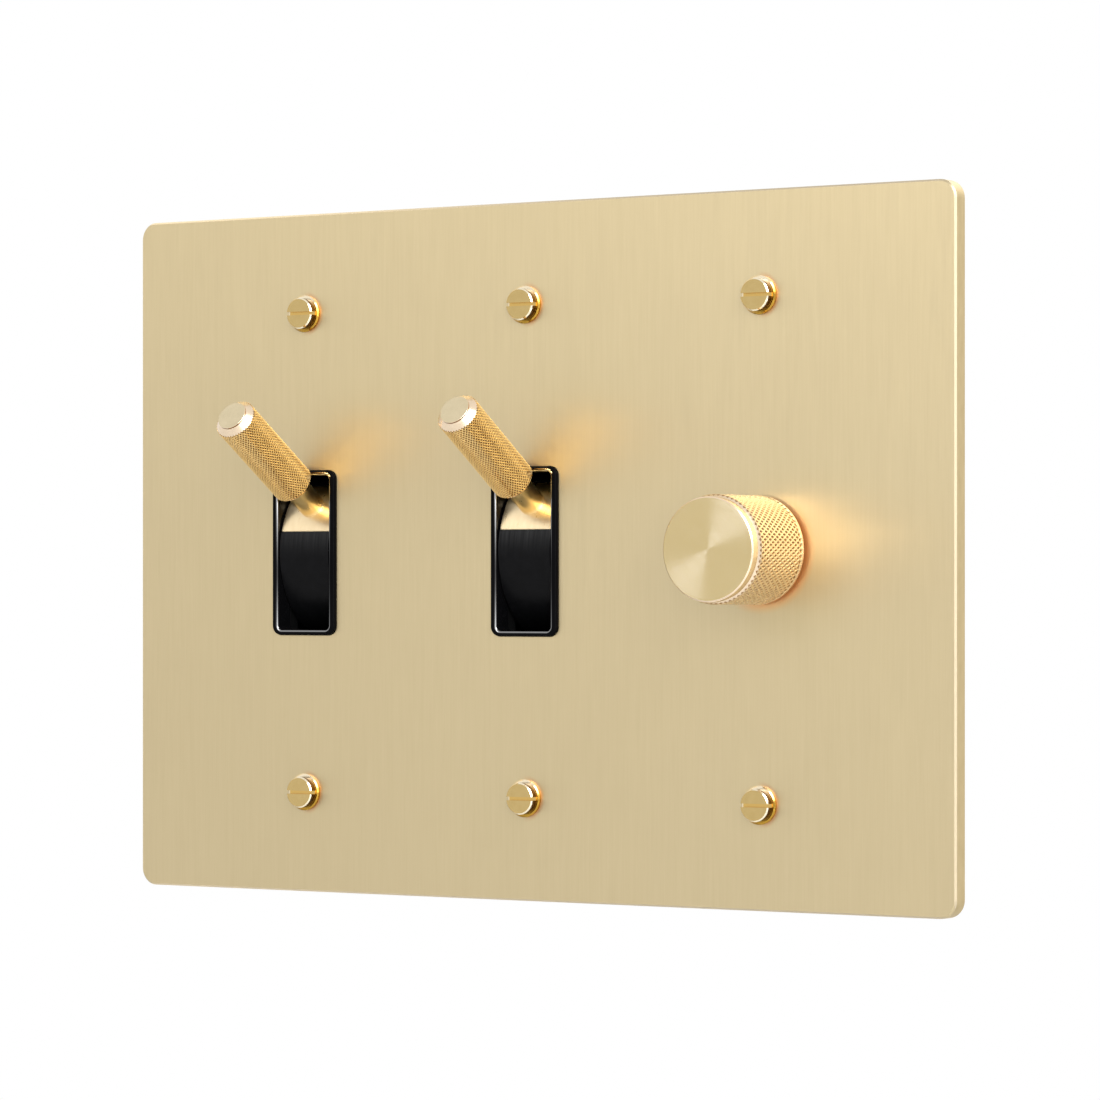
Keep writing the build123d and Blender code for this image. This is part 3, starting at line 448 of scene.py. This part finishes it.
def close_end(end, sides, outline):
    """Joins an open end of the tube to a ring, follows an outline of (radius, height), and caps it."""
    radius, height = outline[0]
    bpy.ops.mesh.primitive_circle_add(vertices=sides, radius=radius, location=(0, 0, height))
    nearest = abs(end - height) + radius / 10
    choose("EDGE", lambda edge: (edge.is_boundary or edge.is_wire) and abs(middle(edge) - end) < nearest)
    bpy.ops.mesh.bridge_edge_loops()
    for next_radius, next_height in outline[1:]:
        choose("EDGE", lambda edge: edge.is_boundary and abs(middle(edge) - height) < radius / 1000
               and abs(edge.verts[0].co.xy.length - radius) < radius / 1000)
        bpy.ops.mesh.extrude_edges_move(TRANSFORM_OT_translate={"value": (0, 0, next_height - height)})
        ratio = next_radius / radius
        bpy.ops.transform.resize(value=(ratio, ratio, 1.0), center_override=(0, 0, next_height))
        radius, height = next_radius, next_height
    bpy.ops.mesh.edge_face_add()


def weld_bar():
    """Joins what touches, turns all faces outward and leaves edit mode."""
    bpy.ops.mesh.select_all(action="SELECT")
    bpy.ops.mesh.remove_doubles(threshold=0.000002)
    bpy.ops.mesh.normals_make_consistent(inside=False)
    bpy.ops.object.mode_set(mode="OBJECT")


def paint(bar, finish, test):
    """Adds a finish to a bar, for the faces whose middle passes a test."""
    bar.data.materials.append(finish)
    for face in bar.data.polygons:
        if test(face.center):
            face.material_index = len(bar.data.materials) - 1


def turn_bar(bar, tilt, place):
    """Tips an upright bar, moves it to its place in the frame and smooths its round faces."""
    bar.rotation_euler = (tilt, 0, 0)
    bar.location = place
    bpy.ops.object.transform_apply(location=True, rotation=True)
    bpy.ops.object.shade_smooth_by_angle(angle=math.radians(20))
    bar.select_set(False)


def seat_bar(bar, body, node):
    """Lets a finished bar move with a body and stand for a CAD node."""
    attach(bar, body)
    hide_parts(node)


handle_low = 0.0216
handle_high = 0.0427
handle_crest = 0.00375
handle_root = 0.00352
handle_diamonds = 44
handle_rows = 23
handle_land = 0.00012
handle_foot_edge = 0.00025
handle_foot = handle_root - 0.00015
handle_cone = 0.0011
handle_bore = 0.0015
handle_bore_depth = 0.009
disc_radius = 0.00265
disc_height = 0.0003
disc_edge = 0.00004
disc_wall_middle = handle_high - (disc_height + disc_edge) / 2
disc_wall_half = 0.0001
pit_floor = 0.00007
handle_colours = (0.21, 0.09, 0.010), (0.95, 0.68, 0.275)
satin_colours = (0.76, 0.60, 0.42), (0.85, 0.69, 0.51)
faced_colours = (0.63, 0.53, 0.34), (0.73, 0.62, 0.415)

handle_brass, pen = new_finish("handle_brass", {
    "Metallic": 1.0, "Coat Weight": 0.25, "Coat IOR": 1.7, "Coat Roughness": 0.15})
along_x, along_y, along_z = own_place(pen)
over, out = lever_axes(along_y, along_z)
reach = span(from_gang(pen, along_x), over)
# Darker gold down in the grooves: partly patina, partly painted shade.
depth = smooth_step(pen, reach, handle_root + pit_floor, handle_crest)
patina = stretched_noise(pen, 500.0, 3.0)
feed(handle_brass, "Base Color", blend_colours(pen, depth * (0.85 + patina * 0.3), *handle_colours))
feed(handle_brass, "Roughness", 0.10 + patina * 0.10)
satin_brass, pen = mottled_finish("satin_brass", {
    "Metallic": 1.0, "Coat Weight": 0.3, "Coat Roughness": 0.2},
    700.0, 3.0, satin_colours, rough=(0.20, 0.1))
faced_brass, pen = mottled_finish("faced_brass", {
    "Metallic": 1.0, "Roughness": 0.25}, 700.0, 3.0, faced_colours)

knurl_low = handle_low + handle_foot_edge
knurl_high = handle_high - handle_cone
handle = knurled_band("knurled_handle_centre", handle_diamonds, handle_rows, knurl_low, knurl_high,
                      handle_root, handle_crest, handle_land)
close_end(knurl_high, 2 * handle_diamonds, [
    (disc_radius, handle_high - disc_height),
    (disc_radius, handle_high - disc_edge),
    (disc_radius - disc_edge, handle_high),
    (disc_radius / 2, handle_high),
])
close_end(knurl_low, 2 * handle_diamonds, [
    (handle_foot, handle_low),
    (handle_bore, handle_low),
    (handle_bore, handle_low + handle_bore_depth),
])
weld_bar()
handle.data.materials.append(handle_brass)
# The wall of the end disc keeps the darkest groove colour, a painted shade line.
paint(handle, satin_brass, lambda place: (
    place.z > knurl_high and abs(place.z - disc_wall_middle) > disc_wall_half))
paint(handle, faced_brass, lambda place: place.z > handle_high - hair)
turn_bar(handle, math.pi / 2 - lever_rise, (0, lever_pivot, 0))

other_handle = bpy.data.objects.new("knurled_handle_left", handle.data.copy())
bpy.context.scene.collection.objects.link(other_handle)
other_handle.select_set(True)
bpy.context.view_layer.objects.active = other_handle
bpy.ops.transform.translate(value=(-gang_pitch, 0, 0))
bpy.ops.object.transform_apply(location=True)
other_handle.select_set(False)
seat_bar(handle, "lever_centre", "lever_handle_centre")
seat_bar(other_handle, "lever_left", "lever_handle_left")

# Switch straps: zinc plated steel pressings that carry each switch in the wall box.
# The plating is bright with a faint spangle. The flush rivets that hold the housings and the pins
# on which the levers turn are plain drawn steel, and so are the dimmer's spindle and small parts.

strap_dark = (0.46, 0.465, 0.46)
strap_pale = (0.66, 0.66, 0.65)
steel_colours = (0.50, 0.50, 0.51), (0.70, 0.70, 0.70)

strap_steel, pen = new_finish("strap_steel", {"Metallic": 1.0})
where = pen.node("ShaderNodeTexCoord", out="Object")
spangle = pen.node("ShaderNodeTexVoronoi", None, {"Vector": where, "Scale": 420.0}, out="Color")
spangle = pen.node("ShaderNodeSeparateColor", None, {0: spangle})
rolled = stretched_noise(pen, (1800.0, 1800.0, 60.0), 3.0)
tint = blend_colours(pen, spangle * 0.5 + rolled * 0.5, strap_dark, strap_pale)
feed(strap_steel, "Base Color", tint)
feed(strap_steel, "Roughness", 0.26 + spangle * 0.14)
feed(strap_steel, "Normal", relief(pen, 0.1, 0.00003, rolled))
dress(strap_steel, "strap_left", "strap_centre")

bright_steel, pen = mottled_finish("bright_steel", {
    "Metallic": 1.0}, (1400.0, 500.0, 500.0), 3.0, steel_colours, rough=(0.20, 0.18))
dress(bright_steel, "strap_rivets_left", "strap_rivets_centre", "pivot_pin_left", "pivot_pin_centre",
      "toggle_spring_left", "toggle_spring_centre", "dimmer_rivets", "spindle", "pot_case",
      "push_spring", "triac_screw", "clamp_screws")

# Springs: coils of hard drawn steel wire, inside the switches and behind the dimmer's plunger.
# A real toggle spring's front end keeps still and its rear end stays on the contact arm's ball as the arm
# tips over.
# The push spring rests on the back of its case and shortens as the knob is pressed. Here each keeps its CAD
# shape.


def free_spring(node):
    """A copy of a CAD spring with a mesh of its own, shown in place of the hidden CAD node."""
    spring = bpy.data.objects.new("coiled_" + node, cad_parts[node].data.copy())
    bpy.context.scene.collection.objects.link(spring)
    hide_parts(node)
    return spring


for side, middle_x in (("left", -gang_pitch), ("centre", 0.0)):
    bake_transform(free_spring("toggle_spring_" + side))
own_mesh(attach(free_spring("push_spring"), "wall_plate"))

# Ground screws: steel binding screws for the earth wire, one under each strap's bent tab.
# They are plated and dyed green, which tells them from the other terminals.

ground_colours = (0.015, 0.16, 0.045), (0.05, 0.30, 0.10)

ground_green, pen = mottled_finish("ground_green", {
    "Metallic": 0.7}, 800.0, 4.0, ground_colours, rough=(0.24, 0.2))
dress(ground_green, "ground_screw_left", "ground_screw_centre", "dimmer_ground_screw")

# Housings: phenolic mouldings with a spark-eroded skin, a body and a cover for each switch.
# The rivets of the straps close them. The dimmer's body and its terminal block are the same plastic.

body_dark = (0.014, 0.014, 0.015)
body_pale = (0.036, 0.036, 0.038)
cover_colours = (0.002, 0.002, 0.002), (0.006, 0.006, 0.006)

body_plastic, pen = new_finish("body_plastic", {"Specular IOR Level": 0.4})
skin = stretched_noise(pen, 5200.0)
swirl = stretched_noise(pen, 120.0, 4.0)
feed(body_plastic, "Base Color", blend_colours(pen, swirl * 0.6 + skin * 0.4, body_dark, body_pale))
feed(body_plastic, "Roughness", 0.38 + skin * 0.25)
feed(body_plastic, "Normal", relief(pen, 0.25, 0.00004, skin))
dress(body_plastic, "switch_body_left", "switch_body_centre", "dimmer_body", "terminal_block")

cover_plastic, pen = mottled_finish("cover_plastic", {
    "Specular IOR Level": 0.1}, 4200.0, 2.0, cover_colours, rough=(0.40, 0.2))
dress(cover_plastic, "switch_cover_left", "switch_cover_centre")

# Contacts and terminals: stamped brass strip, slightly dulled, with brass binding screws at the side.
# The bush, washer and nut that clamp the dimmer to its strap, and its wire clamps, are the same brass.

terminal_colours = (0.58, 0.42, 0.17), (0.80, 0.63, 0.32)

terminal_brass, pen = mottled_finish("terminal_brass", {
    "Metallic": 1.0}, 260.0, 4.0, terminal_colours, rough=(0.24, 0.2))
dress(terminal_brass, "contact_arm_left", "contact_arm_centre", "line_terminal_left",
      "line_terminal_centre", "load_terminal_left", "load_terminal_centre", "terminal_screws_left",
      "terminal_screws_centre", "bush", "bush_washer", "bush_nut", "terminal_clamps")

# Dimmer knob: a solid brass turning with a coarse diamond knurl, a plain collar and a faced front.
# The facing tool leaves rings so fine that light gathers in bright rays from the centre.
# It is hollow behind, with a moulded hub. Its back edge is coloured orange, for the glow on the plate.


def from_knob_axis(pen):
    """A point's place across the knob's axis, as a vector, and its distance from the axis."""
    where = pen.node("ShaderNodeTexCoord", out="Object")
    where = pen.node("ShaderNodeMapping", None, {
        "Vector": where, "Location": (-knob_x, 0.0, 0.0), "Scale": (1.0, 0.0, 1.0)})
    return where, pen.node("ShaderNodeVectorMath", {"operation": "LENGTH"}, {0: where}, out="Value")


knob_low = 0.0040
knob_high = 0.0195
knob_crest = 0.0090
knob_root = 0.00865
knob_diamonds = 63
knob_rows = 8
knob_land = 0.00030
collar_radius = 0.0085
collar_height = 0.0016
collar_edge = 0.00022
collar_groove = 0.0003
rim_radius = knob_crest - 0.00005
rim_height = 0.0005
rim_edge = 0.0001
rim_step = 0.0004
hollow_radius = 0.0078
hollow_roof = 0.0072
hub_radius = 0.0060
hub_roof = 0.0175
knob_pit_floor = 0.00008
ring_lean = 0.34
ring_lean_spread = 0.8
ray_share = 0.12
ray_white = (0.95, 0.93, 0.90, 1.0)
knob_colours = (0.29, 0.128, 0.014), (0.97, 0.80, 0.53)
turned_colours = (0.46, 0.335, 0.11), (0.57, 0.425, 0.165)
glow_colours = (0.90, 0.46, 0.12), (0.95, 0.56, 0.20)

knob_brass, pen = new_finish("knob_brass", {
    "Metallic": 1.0, "Coat Weight": 0.35, "Coat IOR": 2.0, "Coat Roughness": 0.2})
where, reach = from_knob_axis(pen)
# Darker gold down in the pits of the knurl: partly patina, partly painted shade.
depth = smooth_step(pen, reach, knob_root + knob_pit_floor, knob_crest - 2 * hair)
patina = stretched_noise(pen, 500.0, 3.0)
feed(knob_brass, "Base Color", blend_colours(pen, depth * (0.9 + patina * 0.2), *knob_colours))
feed(knob_brass, "Roughness", 0.22 + patina * 0.1)

turned_brass, pen = new_finish("turned_brass", {"Metallic": 1.0, "Roughness": 0.3})
where, reach = from_knob_axis(pen)
outward = pen.node("ShaderNodeVectorMath", {"operation": "NORMALIZE"}, {0: where})
outward = pen.node("ShaderNodeVectorTransform", {
    "vector_type": "VECTOR", "convert_from": "OBJECT", "convert_to": "WORLD"}, {0: outward})
rings = pen.node("ShaderNodeTexNoise", {"noise_dimensions": "1D"}, {
    "W": reach, "Scale": 40000.0, "Detail": 2.0})
slope = pen.maths("SIGN", rings - 0.5) * ring_lean + (rings - 0.5) * ring_lean_spread
lean = pen.node("ShaderNodeVectorMath", {"operation": "SCALE"}, {0: outward, "Scale": slope})
facing = pen.node("ShaderNodeNewGeometry", out="Normal")
facing = pen.node("ShaderNodeVectorMath", {"operation": "ADD"}, {0: facing, 1: lean})
facing = pen.node("ShaderNodeVectorMath", {"operation": "NORMALIZE"}, {0: facing})
feed(turned_brass, "Base Color", blend_colours(pen, rings, *turned_colours))
rays = pen.node("ShaderNodeBsdfPrincipled", None, {
    "Base Color": ray_white, "Metallic": 1.0, "Roughness": 0.25, "Normal": facing})
lay_over(turned_brass, pen, ray_share, rays)

glow_orange, pen = mottled_finish("glow_orange", {
    "Metallic": 0.0, "Roughness": 0.5}, 700.0, 3.0, glow_colours)

knurl_low = knob_low + rim_height + rim_step
knurl_high = knob_high - collar_height - collar_groove
knob = knurled_band("knurled_knob", knob_diamonds, knob_rows, knurl_low, knurl_high,
                    knob_root, knob_crest, knob_land)
close_end(knurl_high, 2 * knob_diamonds, [
    (collar_radius, knob_high - collar_height),
    (collar_radius, knob_high - collar_edge),
    (collar_radius - collar_edge, knob_high),
    (collar_radius / 2, knob_high),
])
close_end(knurl_low, 2 * knob_diamonds, [
    (rim_radius, knob_low + rim_height),
    (rim_radius, knob_low + rim_edge),
    (rim_radius - rim_edge, knob_low),
    (hollow_radius, knob_low),
    (hollow_radius, hollow_roof),
    (hub_radius, hollow_roof),
    (hub_radius, hub_roof),
])
weld_bar()
knob.data.materials.append(knob_brass)
paint(knob, satin_brass, lambda place: place.z > knurl_high or place.z < knob_low + rim_height)
paint(knob, glow_orange, lambda place: place.z < knob_low + 2 * hair)
paint(knob, turned_brass, lambda place: place.z > knob_high - hair)
turn_bar(knob, math.pi / 2, (knob_x, 0, 0))
seat_bar(knob, "knob_and_spindle", "knob")

# Dimmer hub, wiper and push switch: black acetal mouldings.
# The hub is bonded into the knob, and the rest sits inside the dimmer's housing.

hub_colours = (0.022, 0.022, 0.022), (0.050, 0.050, 0.050)

hub_plastic, pen = mottled_finish("hub_plastic", {
    "Specular IOR Level": 0.4}, 1600.0, 3.0, hub_colours, rough=(0.34, 0.2))
dress(hub_plastic, "knob_hub", "wiper_rotor", "push_case", "push_plunger")

# Dimmer strap: a thick aluminium sheet that carries the dimmer and takes the heat of its triac.
# It is left as rolled, so faint lines run along it.

sheet_dark = (0.60, 0.61, 0.62)
sheet_pale = (0.80, 0.81, 0.82)

heat_sink, pen = new_finish("heat_sink", {"Metallic": 1.0})
rolled = stretched_noise(pen, (2400.0, 2400.0, 40.0), 3.0)
smudge = stretched_noise(pen, 60.0, 3.0)
feed(heat_sink, "Base Color", blend_colours(pen, rolled * 0.6 + smudge * 0.4, sheet_dark, sheet_pale))
feed(heat_sink, "Roughness", 0.30 + rolled * 0.16)
dress(heat_sink, "dimmer_strap")

# Dimmer circuit: a glass-epoxy board with a triac, a ferrite choke wound in copper and a film capacitor.
# The board is masked in green, the choke's wire is enamelled, and the cases are moulded in black.

board_colours = (0.02, 0.13, 0.05), (0.05, 0.22, 0.09)
ferrite_colours = (0.03, 0.03, 0.033), (0.07, 0.07, 0.074)
copper_colours = (0.48, 0.20, 0.08), (0.74, 0.38, 0.20)
case_colours = (0.03, 0.03, 0.03), (0.065, 0.065, 0.065)

board_green, pen = mottled_finish("board_green", {}, 900.0, 2.0, board_colours, rough=(0.35, 0.15))
dress(board_green, "circuit_board", "resistor_track")
ferrite, pen = mottled_finish("ferrite", {}, 1500.0, 3.0, ferrite_colours, rough=(0.5, 0.2))
dress(ferrite, "choke_core")
copper_wire, pen = mottled_finish("copper_wire", {
    "Metallic": 1.0}, (300.0, 2400.0, 300.0), 3.0, copper_colours, rough=(0.22, 0.15))
dress(copper_wire, "choke_winding")
component_case, pen = mottled_finish("component_case", {}, 1200.0, 3.0, case_colours, rough=(0.42, 0.2))
dress(component_case, "triac", "capacitor")

# Studio: a pale round table top well below the plate, a white surround and four soft boxes.
# key_above, key_right and key_high light the levers and the knob, which shine back onto the plate.
# rear_fill stands behind the object and lights its back.

table_radius = 0.9
table_height = -0.25
table_rim = 0.02
table_step = 0.002
table_colours = (0.89, 0.89, 0.89), (0.92, 0.92, 0.92)
diffuse_strength = 0.35

bpy.ops.mesh.primitive_circle_add(
    vertices=96, radius=table_radius, fill_type="NGON", location=(0, 0, table_height))
table = bpy.context.object
table.name = "table_top"
bpy.ops.object.transform_apply(location=True)
bpy.ops.object.mode_set(mode="EDIT")
bpy.ops.mesh.inset(thickness=table_rim)
bpy.ops.mesh.extrude_region_move(TRANSFORM_OT_translate={"value": (0, 0, table_step)})
bpy.ops.object.mode_set(mode="OBJECT")
table.select_set(False)
table_white, pen = mottled_finish("table_white", {
    "Roughness": 0.8, "Specular IOR Level": 0.1}, 3.0, 2.0, table_colours)
table.data.materials.append(table_white)

world = bpy.data.worlds.new("white_surround")
bpy.context.scene.world = world
world.use_nodes = True
pen = Tone(world.node_tree)
seen = pen.node("ShaderNodeLightPath", out="Is Camera Ray")
mirrored = pen.node("ShaderNodeLightPath", out="Is Glossy Ray")
through = pen.node("ShaderNodeLightPath", out="Is Transmission Ray")
shown = pen.maths("MAXIMUM", pen.maths("MAXIMUM", seen, mirrored), through)
strength = diffuse_strength + shown * (1.0 - diffuse_strength)
backdrop = world.node_tree.nodes["Background"]
backdrop.inputs["Color"].default_value = (1.0, 1.0, 1.0, 1.0)
world.node_tree.links.new(strength.socket, backdrop.inputs["Strength"])

aim = bpy.data.objects.new("aim", None)
bpy.context.scene.collection.objects.link(aim)


def soft_box(name, place, width, height, radiance):
    """A flat lamp with the given brightness seen in mirrors, turned to the aim."""
    lamp = bpy.data.lights.new(name, "AREA")
    lamp.shape = "RECTANGLE"
    lamp.size = width
    lamp.size_y = height
    lamp.energy = radiance * math.pi * width * height
    box = bpy.data.objects.new(name, lamp)
    bpy.context.scene.collection.objects.link(box)
    box.location = place
    box.rotation_euler = (box.location - aim.location).to_track_quat("Z", "Y").to_euler()


soft_box("key_above", place=(0.04, -0.855, 0.52), width=0.95, height=0.53, radiance=4.2)
soft_box("key_right", place=(0.663, -0.736, 0.139), width=0.44, height=0.62, radiance=4.6)
soft_box("key_high", place=(0.638, -0.498, 0.588), width=0.40, height=0.70, radiance=8.0)
soft_box("rear_fill", place=(0.10, 0.90, 0.60), width=0.80, height=0.80, radiance=1.2)

# Camera: level, 33 degrees to the plate's right and just below its middle, as the photograph was taken.
# Its long lens and its upward shift were fitted to the plate's corners and screws.

camera_turn = math.radians(33.294)
camera_place = (0.42866, -0.64807, -0.00721)

lens = bpy.data.cameras.new("photo_camera")
lens.sensor_width = 36.0
lens.lens = 150.12
lens.shift_y = 0.0402
lens.clip_start = 0.01
camera = bpy.data.objects.new("photo_camera", lens)
bpy.context.scene.collection.objects.link(camera)
camera.location = camera_place
camera.rotation_euler = (math.pi / 2, 0.0, camera_turn)
bpy.context.scene.camera = camera
bpy.context.scene.view_settings.view_transform = "Standard"
